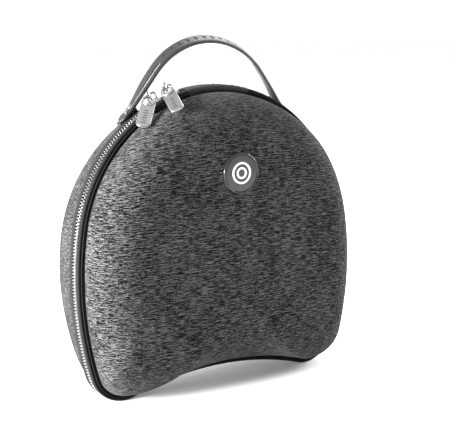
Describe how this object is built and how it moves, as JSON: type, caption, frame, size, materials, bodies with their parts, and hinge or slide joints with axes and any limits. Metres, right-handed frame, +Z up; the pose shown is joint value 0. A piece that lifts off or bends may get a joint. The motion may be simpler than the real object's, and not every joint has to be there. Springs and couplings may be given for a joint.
{
  "type": "headphone carrying case",
  "caption": "Rigid arched headphone carrying case of two fabric-covered halves with an all-round zip below a fabric hinge, a leather strap handle and a moulded cradle inside.",
  "frame": {"origin": "on the floor plane under the middle of the case: the middle of its width and depth, at the bottom of the two lobes it stands on", "axes": "+X to the right as seen from the front, the front face with the badge faces -Y, +Z up towards the handle"},
  "size_m": [0.25, 0.1022, 0.2791],
  "materials": {
    "knit_fabric": "heathered grey knit",
    "moulded_shell": "matte",
    "lining_fabric": "short pile",
    "edge_twill": "dense twill",
    "zip_tape": "woven",
    "zip_metal": "polished",
    "pull_metal": "polished",
    "strap_leather": "smooth",
    "strap_pad": "matte",
    "badge_body": "satin",
    "badge_rim": "gloss",
    "badge_mark": "satin",
    "mesh": "open mesh"
  },
  "bodies": {
    "base": {"back_shell": "moulded_shell", "back_fabric_cover": "knit_fabric", "back_lining": "lining_fabric", "back_edge_binding": "edge_twill", "zip_tape_back": "zip_tape", "zip_teeth_back": "zip_metal", "hinge_band": "edge_twill", "hinge_liner": "lining_fabric", "handle_end_left": "strap_leather", "handle_end_right": "strap_leather", "handle_pad_left": "strap_pad", "handle_pad_right": "strap_pad", "handle_rivets": "pull_metal", "headphone_cradle": "lining_fabric"},
    "lid": {"front_shell": "moulded_shell", "front_fabric_cover": "knit_fabric", "front_lining": "lining_fabric", "front_edge_piping": "edge_twill", "zip_tape_front": "zip_tape", "zip_teeth_front": "zip_metal", "zip_end_stops": "zip_metal", "badge_bezel": "badge_rim", "badge_disc": "badge_body", "badge_emblem": "badge_mark", "mesh_pocket": "mesh", "pocket_hem": "edge_twill"},
    "handle": {"handle_strap": "strap_leather"},
    "slider_a": {"slider_a_body": "pull_metal", "slider_a_bail": "pull_metal"},
    "slider_b": {"slider_b_body": "pull_metal", "slider_b_bail": "pull_metal"},
    "pull_a": {"pull_tab_a": "pull_metal", "pull_ring_a": "pull_metal"},
    "pull_b": {"pull_tab_b": "pull_metal", "pull_ring_b": "pull_metal"}
  },
  "joints": [
    {"name": "lid_hinge", "type": "hinge", "parent": "base", "child": "lid", "pos_m": [0, -0.008, 0.24], "axis": [-1, 0, 0], "range_deg": [0, 90], "deforming": ["hinge_band"]},
    {"name": "handle_flex", "type": "hinge", "parent": "base", "child": "handle", "pos_m": [0, 0.002, 0.2336], "axis": [-1, 0, 0], "range_deg": [0, 75]},
    {"name": "slider_a_travel", "type": "hinge", "parent": "lid", "child": "slider_a", "pos_m": [0, -0.008, 0.117], "axis": [0, -1, 0], "range_deg": [0, 1.6]},
    {"name": "slider_b_travel", "type": "hinge", "parent": "lid", "child": "slider_b", "pos_m": [0, -0.008, 0.117], "axis": [0, -1, 0], "range_deg": [0, 50]},
    {"name": "pull_a_swing", "type": "hinge", "parent": "slider_a", "child": "pull_a", "pos_m": [-0.04016, -0.008, 0.24133], "axis": [-0.9516, 0, -0.3074], "range_deg": [0, 90]},
    {"name": "pull_b_swing", "type": "hinge", "parent": "slider_b", "child": "pull_b", "pos_m": [-0.05459, -0.008, 0.2357], "axis": [-0.9085, 0, -0.4179], "range_deg": [0, 90]}
  ]
}
